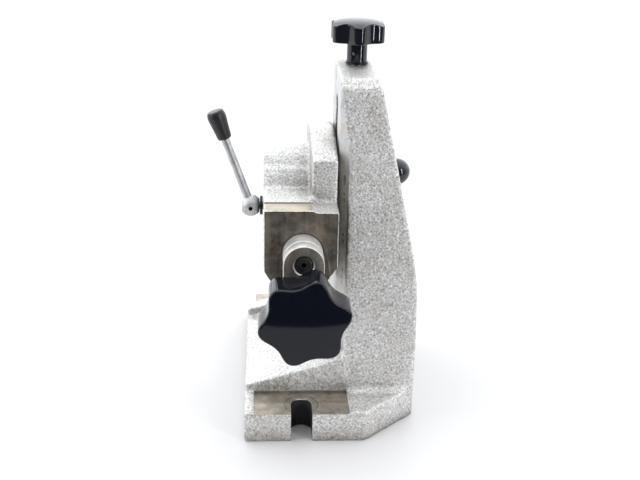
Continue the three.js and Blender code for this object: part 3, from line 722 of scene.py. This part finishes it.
def make_head():
    obj = rough_casting("head_casting", "head_body")
    lo, hi = low("head_casting"), high("head_casting")
    quill, feed, stud = centre("quill"), centre("feed_screw"), centre("clamp_stud")
    plug = centre("lock_plug_outer")
    shelf_floor, shelf_air = stud.z - 1 - SKIN, stud.z + 7
    out_lo, out_hi = lo - Vector((OVERCUT,) * 3), hi + Vector((OVERCUT,) * 3)
    near = block("near", out_lo, (out_hi.x, lo.y + SKIN, out_hi.z))
    far = block("far", (out_lo.x, hi.y - SKIN, out_lo.z), out_hi)
    side = block("side", (hi.x - SKIN, out_lo.y, out_lo.z), out_hi)
    shelves = [
        block("shelf", (out_lo.x, out_lo.y, shelf_floor), (SHELF_RIGHT, lo.y + SHELF_LENGTH, shelf_air)),
        block("shelf", (out_lo.x, hi.y - SHELF_LENGTH, shelf_floor), (SHELF_RIGHT, out_hi.y, shelf_air)),
    ]
    cut(
        obj,
        *[with_material(b, MILLED_FACE) for b in (near, far, side)],
        *[with_material(s, MILLED_SHELF) for s in shelves],
        # The quill bore's near-black wall paints the shade in the gap round the quill.
        drill("y", QUILL_BORE, out_lo.y, out_hi.y, (quill.x, 0, quill.z), HOLLOW_SHADE),
        drill("y", FEED_SINK, out_lo.y, lo.y + 8, (feed.x, 0, feed.z)),
        drill("y", FEED_BORE, out_lo.y, 10, (feed.x, 0, feed.z)),
        drill("x", STUD_SINK, out_lo.x, lo.x + 11, (0, stud.y, stud.z)),
        drill("x", STUD_SPOT_FACE, out_lo.x, lo.x + 0.7, (0, stud.y, stud.z)),
        drill("x", PLUG_BORE, out_lo.x, lo.x + 14, (0, plug.y, plug.z)),
        drill("x", PLUG_SPOT_FACE, out_lo.x, lo.x + 0.6, (0, plug.y, plug.z)),
    )
    settle(obj, "head_casting", angle=40)


# ---- knobs ----


def lobes(radius, depth, turn, count=6, sharpness=1.25, steps=240):
    """A knob's outline: rounded lobes with wider hollows between them."""
    outline = []
    for i in range(steps):
        angle = 2 * math.pi * i / steps
        wave = (0.5 + 0.5 * math.cos(count * (angle - turn * DEG))) ** sharpness
        size = radius - depth * (1 - wave)
        outline.append(Vector((size * math.cos(angle), size * math.sin(angle))))
    return outline


def inset(outline, distance):
    """The outline moved inward along its normals."""
    count = len(outline)
    made = []
    for i, spot in enumerate(outline):
        along = (outline[(i + 1) % count] - outline[i - 1]).normalized()
        made.append(spot - Vector((along.y, -along.x)) * distance)
    return made


def stack(name, rings, crown):
    """A solid whose skin runs through closed rings of points, from the origin to a crown above it."""
    points = [Vector((0, 0, 0))]
    ids = [[0]]
    for ring in rings:
        ids.append(list(range(len(points), len(points) + len(ring))))
        points += ring
    ids.append([len(points)])
    points.append(Vector((0, 0, crown)))
    faces = []
    for lower, upper in zip(ids, ids[1:]):
        faces += band(lower, upper, len(rings[0]))
    obj = mesh_object(name, points, faces)
    face_outward(obj)
    return obj


FOOT_FILLET = 0.8
FACE_POWER = 2.2
EDGE_STEPS = 6
ROUND_STEPS = 7
FACE_RINGS = 26


def lobed_knob(name, outline, wall, crown, hub_radius, edge):
    """A lobed knob with a domed face, standing along +Z from its hub at z = 0.

    wall is where its side starts and ends, crown the height of its middle, and edge the radius of its
    rounded edges.
    """
    radius = max(s.length for s in outline)
    start, shoulder = wall
    rim = inset(outline, edge)
    rings = [[(s.normalized() * hub_radius * share).to_3d() for s in outline] for share in (0.25, 0.6, 1.0)]
    rings.append([Vector((s.x, s.y, start - 0.6)) for s in rings[-1]])

    def dome(spot):
        share = min(spot.length / radius, 1.0)
        return shoulder + (crown - shoulder) * math.sqrt(max(0.0, 1 - share**FACE_POWER))

    foot = [s.normalized() * (hub_radius + FOOT_FILLET) for s in outline]
    rings.append([Vector((s.x, s.y, start)) for s in foot])
    rings.append([Vector((*(f.lerp(r, 0.5)), start)) for f, r in zip(foot, rim)])
    for i in range(EDGE_STEPS + 1):
        angle = i / EDGE_STEPS * math.pi / 2
        ring = inset(outline, edge * (1 - math.sin(angle)))
        rings.append([Vector((s.x, s.y, start + edge * (1 - math.cos(angle)))) for s in ring])
    top_edge = [dome(s) for s in rim]
    for share in (0.25, 0.5, 0.75):
        base = start + edge
        heights = [base + (t - edge - base) * share for t in top_edge]
        rings.append([Vector((s.x, s.y, h)) for s, h in zip(outline, heights)])
    for i in range(ROUND_STEPS + 1):
        angle = i / ROUND_STEPS * math.pi / 2
        ring = inset(outline, edge * (1 - math.cos(angle)))
        heights = [t - edge + edge * math.sin(angle) for t in top_edge]
        rings.append([Vector((s.x, s.y, h)) for s, h in zip(ring, heights)])
    inner = min(s.length for s in rim)
    for i in range(1, FACE_RINGS):
        share = 1 - i / FACE_RINGS
        roundness = min(1.0, 1.6 * (1 - share))
        ring = [(s * share).lerp(s.normalized() * inner * share, roundness) for s in rim]
        rings.append([Vector((s.x, s.y, dome(s))) for s in ring])
    return stack(name, rings, crown)


# A knob's lobes are (radius, depth of the hollows, turn in degrees).
HEIGHT_LOBES = (20.8, 3.7, 30)
HEIGHT_HUB = 7.4
HEIGHT_KNOB_RIM = 264.4
HEIGHT_KNOB_SHOULDER = 274.8
HEIGHT_EDGE = 0.9
PIN_TURN = -28 * DEG
PIN_WAY_RADIUS = 1.7
PIN_WAY_HALF = 12
PIN_RADIUS = 1.3
PIN_HALF = 6.6
FEED_LOBES = (31.4, 5.7, 13)
FEED_HUB = 12.4
FEED_KNOB_BACK = -105
FEED_DOME = 3.2
FEED_EDGE = 1.7


def make_height_knob():
    lo, hi = low("height_knob"), high("height_knob")
    at = centre("height_screw")
    wall = (HEIGHT_KNOB_RIM - lo.z, HEIGHT_KNOB_SHOULDER - lo.z)
    outline = lobes(*HEIGHT_LOBES, sharpness=1.1)
    knob = lobed_knob("height_knob_cap", outline, wall, hi.z - lo.z, HEIGHT_HUB, HEIGHT_EDGE)
    move(knob, (at.x, at.y, lo.z))
    pin_at = (at.x, at.y, centre("height_knob_pin").z)
    way_profile = [(0, -PIN_WAY_HALF), (PIN_WAY_RADIUS, -PIN_WAY_HALF)]
    way_profile += [(PIN_WAY_RADIUS, PIN_WAY_HALF), (0, PIN_WAY_HALF)]
    way = move(turned("way", way_profile, "y", segments=32), pin_at, PIN_TURN)
    with_material(knob, GLOSS)
    cut(knob, with_material(way, GLOSS))
    settle(knob, "height_knob")
    cross = turned("height_cross_pin", rod_profile(PIN_RADIUS, -PIN_HALF, PIN_HALF, 0.4), "y", segments=32)
    settle(move(cross, pin_at, PIN_TURN), "height_knob_pin", GREY)


def make_feed_knob():
    lo, hi = low("feed_knob"), high("feed_knob")
    at = centre("feed_screw")
    length = hi.y - lo.y
    wall = (hi.y - FEED_KNOB_BACK, length - FEED_DOME)
    knob = lobed_knob("feed_knob_star", lobes(*FEED_LOBES), wall, length, FEED_HUB, FEED_EDGE)
    settle(move(knob, (at.x, hi.y, at.z), 90 * DEG, "X"), "feed_knob", STAR_GLOSS)


# ---- screws, washers and pins ----

# Plain round pieces by node: (axis, bore radius, edge radius, material). A bore of 0 makes a pin.
ROUND_PIECES = {
    "height_screw_washer": ("z", 5.4, 0.25, DARK_STEEL_AND_HOLE_SHADE),
    "height_screw_collar": ("z", 5.4, 0.5, DARK_STEEL_AND_HOLE_SHADE),
    "height_collar_pin": ("x", 0, 0.3, BRIGHT_X),
    "screw_foot_bush": ("z", 5.4, 0.6, BRONZE),
    "clamp_stud_washer": ("x", 6.4, 0.3, BRIGHT_X),
    "clamp_washer": ("x", 6.4, 0.35, BRIGHT_X),
    "clamp_hub": ("x", 6.4, 1.3, DARK_STEEL_AND_HOLE_SHADE),
    "feed_thrust_washer": ("y", 5.4, 0.3, BRIGHT),
    "feed_knob_insert": ("y", 5.4, 0.5, BRONZE),
    "feed_collar": ("y", 5.4, 0.5, DARK_STEEL_AND_HOLE_SHADE),
    "feed_collar_pin": ("x", 0, 0.3, BRIGHT_X),
    "arm_pin": ("y", 0, 0.4, BRIGHT),
    "lock_stud": ("x", 0, 0.5, BRIGHT_X),
}


def make_round_piece(node, axis, bore, edge, material):
    index = "xyz".index(axis)
    lo, hi, middle = low(node), high(node), centre(node)
    outer = min((hi - lo)[i] for i in range(3) if i != index) / 2 - 0.02
    at = [0 if i == index else middle[i] for i in range(3)]
    if bore:
        profile = ring_profile(bore, outer, lo[index], hi[index], edge)
    else:
        profile = rod_profile(outer, lo[index], hi[index], edge)
    settle(turned(node + "_turned", profile, axis, at), node, material)


HEIGHT_THREAD = (4.95, 1.5)  # radius and pitch, as in the two below
COARSE_THREAD = (5.95, 1.75)
ARM_THREAD = (3.95, 1.25)
FEED_NECK = 4.95
STUD_HEX = 9.9
STUD_HEX_EDGE = 1.6
ARM_HEAD = 5.6
ARM_HEX = 1.75
GRUB_RADIUS = 2.35
GRUB_HEX = 1.4


def make_height_screw():
    lo, hi, at = low("height_screw"), high("height_screw"), centre("height_screw")
    plain = low("height_screw_collar").z - 3
    screw = threaded("height_screw_thread", *HEIGHT_THREAD, lo.z, hi.z, plain, "z", (at.x, at.y, 0))
    settle(screw, "height_screw", BRIGHT, 50)


def make_feed_screw():
    lo, hi, at = low("feed_screw"), high("feed_screw"), centre("feed_screw")
    neck_end = high("feed_collar").y + 1.5
    line = (at.x, 0, at.z)
    neck = turned("neck", rod_profile(FEED_NECK, lo.y, neck_end, 0.4), "y", line, 64)
    screw = threaded("feed_screw_thread", *COARSE_THREAD, neck_end - 0.5, hi.y, hi.y - 2, "y", line)
    settle(merge(neck, screw), "feed_screw", BRIGHT, 50)


def hexagon(radius, turn=0):
    angles = [(60 * i + turn) * DEG for i in range(6)]
    return [(radius * math.cos(a), radius * math.sin(a)) for a in angles]


def make_clamp_stud():
    lo, hi, at = low("clamp_stud"), high("clamp_stud"), centre("clamp_stud")
    seat = low("clamp_stud_washer").x - 0.3
    line = (0, at.y, at.z)
    outline = [(at.y + a, at.z + b) for a, b in hexagon(STUD_HEX)]
    head = prism("head", outline, "x", lo.x, seat)
    combine(head, "INTERSECT", turned("trim", rod_profile(STUD_HEX, lo.x, seat, STUD_HEX_EDGE), "x", line))
    thread_from = low("clamp_hub").x - 2
    plain = turned("plain", rod_profile(COARSE_THREAD[0], seat - 1, thread_from + 1, 0.3), "x", line, 64)
    thread = threaded("thread", *COARSE_THREAD, thread_from, hi.x, hi.x - 1.5, "x", line)
    stud = merge(head, plain, thread)
    stud.name = "clamp_stud_hex"
    settle(stud, "clamp_stud", DARK_STEEL_AND_HOLE_SHADE, 40)


def make_arm_screw():
    lo, hi = low("arm_screw"), high("arm_screw")
    at = centre("quill")
    seat = low("quill_arm").y + 6.7
    line = (at.x, 0, at.z)
    head = with_material(turned("arm_cap_screw", rod_profile(ARM_HEAD, lo.y, seat, 0.7), "y", line), GREY)
    outline = [(at.x + a, at.z + b) for a, b in hexagon(ARM_HEX, 20)]
    # Lining the hex socket with the dark steel paints the shade inside it.
    cut(head, with_material(prism("socket", outline, "y", lo.y - 1, lo.y + 3.4), DARK_STEEL_AND_HOLE_SHADE))
    thread = threaded("thread", *ARM_THREAD, seat - 0.5, hi.y, hi.y - 1.5, "y", line, 28)
    settle(merge(head, with_material(thread, DARK_STEEL_AND_HOLE_SHADE)), "arm_screw")


def make_grub_screw():
    lo, hi, at = low("bearing_grub_screw"), high("bearing_grub_screw"), centre("bearing_grub_screw")
    body = turned("bearing_grub", rod_profile(GRUB_RADIUS, lo.x, hi.x, 0.3), "x", (0, at.y, at.z), 48)
    outline = [(at.y + a, at.z + b) for a, b in hexagon(GRUB_HEX)]
    cut(with_material(body, DARK_STEEL_AND_HOLE_SHADE), with_material(prism("socket", outline, "x", lo.x - 1, lo.x + 3), DARK_STEEL_AND_HOLE_SHADE))
    settle(body, "bearing_grub_screw", DARK_STEEL_AND_HOLE_SHADE)


# ---- lift block and levers ----

TENON_HALF = 8.7
LIFT_FRONT = 35
LIFT_REAR = 52
LIFT_STUD_BORE = 6.3
LIFT_SCREW_BORE = 5.3


def make_lift_block():
    lo, hi = low("lift_block"), high("lift_block")
    screw, stud = centre("height_screw"), centre("clamp_stud")
    body = block("lift_block_milled", (LIFT_FRONT, lo.y, lo.z), (LIFT_REAR, hi.y, hi.z), 0.9)
    tenon = block("tenon", (lo.x, -TENON_HALF, lo.z + 2), (LIFT_FRONT + 1, TENON_HALF, hi.z - 2), 0.5)
    merge(body, tenon)
    with_material(body, MILLED_RAIL)
    cut(
        body,
        drill("x", LIFT_STUD_BORE, lo.x - 2, hi.x + 2, (0, stud.y, stud.z), MILLED_RAIL),
        drill("z", LIFT_SCREW_BORE, lo.z - 2, hi.z + 2, (screw.x, screw.y, 0), MILLED_RAIL),
    )
    settle(body, "lift_block")


CLAMP_ROD_RADIUS = 3.45
CLAMP_ROD_LENGTH = 20.4
CLAMP_BALL_RADIUS = 10.3
CLAMP_BALL_BORE = 3.6
CLAMP_BALL_MOUTH = 4.6
CLAMP_BALL_SOCKET = 5
BALL_STEPS = 40


def make_clamp_lever():
    """The short rod and ball on the clamp nut. The rod's middle and the ball's middle give its line."""
    ball_at, rod_at = centre("clamp_ball"), centre("clamp_rod")
    direction = (ball_at - rod_at).normalized()
    rod_start = rod_at - direction * CLAMP_ROD_LENGTH / 2
    rod = turned("clamp_lever_rod", rod_profile(CLAMP_ROD_RADIUS, 0, CLAMP_ROD_LENGTH, 0.4), segments=64)
    settle(lay(rod, rod_start, direction), "clamp_rod", BRIGHT)
    radius = CLAMP_BALL_RADIUS
    mouth = -math.sqrt(radius**2 - CLAMP_BALL_MOUTH**2)
    floor = -CLAMP_BALL_SOCKET + 0.2
    profile = [(0, floor), (CLAMP_BALL_BORE, floor), (CLAMP_BALL_BORE, mouth), (CLAMP_BALL_MOUTH, mouth)]
    start = math.asin(mouth / radius)
    for i in range(1, BALL_STEPS + 1):
        angle = start + (math.pi / 2 - start) * i / BALL_STEPS
        profile.append((max(0.0, radius * math.cos(angle)), radius * math.sin(angle)))
    ball = turned("clamp_ball_knob", profile)
    settle(lay(ball, ball_at, direction), "clamp_ball", GLOSS)


LOCK_LEAN = 19.6 * DEG
LOCK_HUB_RADIUS = 7.9
LOCK_EYE = 1.45
LOCK_DIMPLE = 3.2
LOCK_COLLAR = (3.4, 6.9)  # inner and outer radius
LOCK_ROD = (5.8, 57)  # start and end from the hub's middle, as for the grip
LOCK_ROD_RADII = (3.3, 2.95)
LOCK_GRIP = (53, 74)
LOCK_GRIP_RADII = (4.9, 5.5, 6.7, 5.6)
HUB_STEPS = 32


def make_lock_lever():
    hub_at = centre("lock_hub")
    direction = (-math.sin(LOCK_LEAN), 0, math.cos(LOCK_LEAN))
    lo, hi = low("lock_hub"), high("lock_hub")
    radius = LOCK_HUB_RADIUS
    arc_start = math.acos(min(1.0, (hi.x - lo.x) / 2 / radius))
    flat = radius * math.sin(arc_start) - 0.3
    profile = [(0, lo.x), (flat, lo.x)]
    for i in range(HUB_STEPS + 1):
        angle = arc_start + (math.pi - 2 * arc_start) * i / HUB_STEPS
        profile.append((radius * math.sin(angle), hub_at.x - radius * math.cos(angle)))
    profile += [(flat, hi.x), (0, hi.x)]
    hub = with_material(turned("lock_lever_hub", profile, "x", (0, hub_at.y, hub_at.z)), FROSTED)
    # The eye and the dimple are lined with dark steel in the light hub: painted shade in the holes.
    eye = drill("y", LOCK_EYE, hub_at.y - 10, hub_at.y - 4.2, (hub_at.x, 0, hub_at.z), DARK_STEEL_AND_HOLE_SHADE, 40)
    dimple = drill("x", LOCK_DIMPLE, lo.x - 1, lo.x + 0.5, (0, hub_at.y, hub_at.z), DARK_STEEL_AND_HOLE_SHADE, 48)
    settle(cut(hub, eye, dimple), "lock_hub")
    start, end = LOCK_ROD
    thick, thin = LOCK_ROD_RADII
    rod_shape = rounded([(0, start), (thick, start), (thin, start + 4), (thin, end), (0, end)], 1.0)
    settle(lay(turned("lock_lever_rod", rod_shape, segments=64), hub_at, direction), "lock_rod", FROSTED)
    low_end, top = LOCK_GRIP
    neck, waist, head, tip = LOCK_GRIP_RADII
    grip_shape = [(0, low_end), (neck, low_end), (waist, low_end + 6), (head, top - 4), (tip, top), (0, top)]
    grip = turned("lock_lever_grip", rounded(grip_shape, 1.4), segments=80)
    settle(lay(grip, hub_at, direction), "lock_grip", SATIN)
    collar_lo, collar_hi = low("lock_collar"), high("lock_collar")
    profile = ring_profile(*LOCK_COLLAR, collar_lo.x, collar_hi.x, 0.3)
    settle(turned("lock_lever_collar", profile, "x", (0, hub_at.y, hub_at.z)), "lock_collar", DARK_STEEL_AND_HOLE_SHADE)


# ---- quill and feed ----

QUILL_RADIUS = 13.95
SEAT_RADIUS = 5.9
SEAT_DEPTH = 20
CENTRE_SHANK = 5.4
CENTRE_RADIUS = 7.9
CENTRE_TIP = 0.35
CENTRE_COLLAR = 5
ARM_RADIUS = 13.9
ARM_SINK = (9.4, 6.5)  # at its mouth and at its floor
ARM_BORE = 5.4


def make_quill():
    lo, hi = low("quill"), high("quill")
    at = (centre("quill").x, 0, centre("quill").z)
    floor = hi.y - SEAT_DEPTH
    profile = [(0, lo.y), (QUILL_RADIUS, lo.y), (QUILL_RADIUS, hi.y)]
    profile += [(SEAT_RADIUS, hi.y), (SEAT_RADIUS, floor), (0, floor)]
    settle(turned("quill_barrel", rounded(profile, 0.9), "y", at, 128), "quill", QUILL_STEEL)


def make_centre_point():
    lo, hi, at = low("centre_point"), high("centre_point"), centre("centre_point")
    lip = high("quill").y + 0.3
    profile = [(0, lo.y), (CENTRE_SHANK, lo.y), (CENTRE_SHANK, lip), (CENTRE_RADIUS, lip)]
    profile += [(CENTRE_RADIUS, lip + CENTRE_COLLAR), (CENTRE_TIP, hi.y - 0.1), (0, hi.y)]
    settle(turned("centre_cone", rounded(profile, 0.3), "y", (at.x, 0, at.z)), "centre_point", BRIGHT)


def make_quill_arm():
    lo, hi = low("quill_arm"), high("quill_arm")
    upper, lower = centre("quill").z, centre("feed_screw").z
    outline = arc(0, upper, ARM_RADIUS, 0, 180, 40) + arc(0, lower, ARM_RADIUS, 180, 360, 40)
    arm = with_material(prism("quill_arm_plate", outline, "y", lo.y, hi.y, 0.7), ARM_FACE)
    # The sides take the lighter quill steel: a painted highlight along the plate's rim.
    arm.data.materials.append(QUILL_STEEL)
    for face in arm.data.polygons:
        face.material_index = 0 if abs(face.normal.y) > 0.9 else 1
    mouth, bore = ARM_SINK
    profile = [(0, lo.y - 2), (mouth, lo.y - 2), (bore, lo.y + 0.9), (bore, lo.y + 7), (0, lo.y + 7)]
    sink = turned("sink", profile, "y", (0, 0, upper), 72)
    # The counterbore is lined with bright steel as a painted highlight ring, and the lower bore with dark
    # steel as painted shade.
    cut(arm, with_material(sink, BRIGHT), drill("y", ARM_BORE, lo.y - 2, hi.y + 2, (0, 0, lower), DARK_STEEL_AND_HOLE_SHADE))
    settle(arm, "quill_arm")


def finish_lock_plugs():
    """The two halves of the split cotter sit deep in the head, so their CAD shapes stay."""
    for node in ("lock_plug_outer", "lock_plug_inner"):
        data = NODES[node].data
        data.materials.clear()
        data.materials.append(MILLED_FACE)


# ---- stage ----

FLOOR_HALF = 30.0  # in metres
FLOOR_COLOUR = (0.64, 0.63, 0.63, 1)
FLAG_COLOUR = (0.01, 0.01, 0.012, 1)
SKY_COLOUR = (0.95, 0.975, 1.0, 1)


def sheet(name, points, faces, colour, rough):
    """A flat sheet of the studio, from points in metres, with a plain colour."""
    mesh = bpy.data.meshes.new(name)
    mesh.from_pydata(points, [], faces)
    obj = link(bpy.data.objects.new(name, mesh))
    g = Graph(name + "_paper")
    g.set(Base_Color=colour, Roughness=rough)
    obj.data.materials.append(g.material)
    return obj


def make_floor():
    half = FLOOR_HALF
    corners = [(-half, -half, 0), (half, -half, 0), (half, half, 0), (-half, half, 0)]
    sheet("floor", corners, [(0, 1, 2, 3)], FLOOR_COLOUR, 0.6)


# The sky's brightness runs from dim to bright over this span of a direction's Y plus SKY_LIFT of its Z.
SKY_LIFT = 0.6
SKY_SPAN = (-0.75, 1.15)
SKY_DIM = 0.35
SKY_BRIGHT = 2.4
# The black card's half width, its near edge, its fold, its height and its lift above the floor, in metres.
FLAG_HALF = 3.0
FLAG_NEAR = -0.33
FLAG_FAR = -2.0
FLAG_TOP = 1.5
FLAG_LIFT = 0.003


def soft_light(name, at, aim, size, power):
    data = bpy.data.lights.new(name, "AREA")
    data.shape = "RECTANGLE"
    data.size, data.size_y = size
    data.energy = power
    lamp = link(bpy.data.objects.new(name, data))
    lamp.location = Vector(at)
    lamp.rotation_euler = (Vector(aim) - Vector(at)).to_track_quat("-Z", "Y").to_euler()


def make_sky():
    """A white studio that is bright overhead and behind the object and dim in front of it."""
    world = bpy.data.worlds.new("studio")
    bpy.context.scene.world = world
    world.use_nodes = True
    tree = world.node_tree
    split = tree.nodes.new("ShaderNodeSeparateXYZ")
    tree.links.new(tree.nodes.new("ShaderNodeTexCoord").outputs["Generated"], split.inputs[0])
    height = tree.nodes.new("ShaderNodeMath")
    height.operation = "MULTIPLY_ADD"
    tree.links.new(split.outputs["Z"], height.inputs[0])
    height.inputs[1].default_value = SKY_LIFT
    tree.links.new(split.outputs["Y"], height.inputs[2])
    ramp = tree.nodes.new("ShaderNodeMapRange")
    ramp.interpolation_type = "SMOOTHSTEP"
    tree.links.new(height.outputs[0], ramp.inputs["Value"])
    span = {"From Min": SKY_SPAN[0], "From Max": SKY_SPAN[1], "To Min": SKY_DIM, "To Max": SKY_BRIGHT}
    for socket, value in span.items():
        ramp.inputs[socket].default_value = value
    background = tree.nodes["Background"]
    background.inputs["Color"].default_value = SKY_COLOUR
    tree.links.new(ramp.outputs["Result"], background.inputs["Strength"])


def make_flag():
    """A black card in front, on the floor and standing, which only reflections see, like a dark room."""
    low_edge = [(-FLAG_HALF, FLAG_NEAR, FLAG_LIFT), (FLAG_HALF, FLAG_NEAR, FLAG_LIFT)]
    fold = [(FLAG_HALF, FLAG_FAR, FLAG_LIFT), (-FLAG_HALF, FLAG_FAR, FLAG_LIFT)]
    top_edge = [(FLAG_HALF, FLAG_FAR, FLAG_TOP), (-FLAG_HALF, FLAG_FAR, FLAG_TOP)]
    flag = sheet("flag", low_edge + fold + top_edge, [(0, 1, 2, 3), (3, 2, 4, 5)], FLAG_COLOUR, 0.9)
    flag.visible_camera = False
    flag.visible_diffuse = False
    flag.visible_shadow = False
    flag.visible_transmission = False


def make_studio():
    make_sky()
    make_flag()
    aim = (0, 0, 0.12)
    soft_light("right_strip", (0.75, -0.75, 0.4), aim, (0.04, 0.9), 4)
    soft_light("left_panel", (-1.1, -0.5, 0.6), aim, (0.4, 0.9), 4.5)
    bpy.context.scene.view_settings.view_transform = "Standard"


set_camera()
make_column()
make_head()
make_height_knob()
make_feed_knob()
make_quill()
make_quill_arm()
make_centre_point()
make_height_screw()
make_feed_screw()
make_clamp_stud()
make_arm_screw()
make_grub_screw()
make_lift_block()
make_clamp_lever()
make_lock_lever()
finish_lock_plugs()
for round_node, round_look in ROUND_PIECES.items():
    make_round_piece(round_node, *round_look)
make_floor()
make_studio()
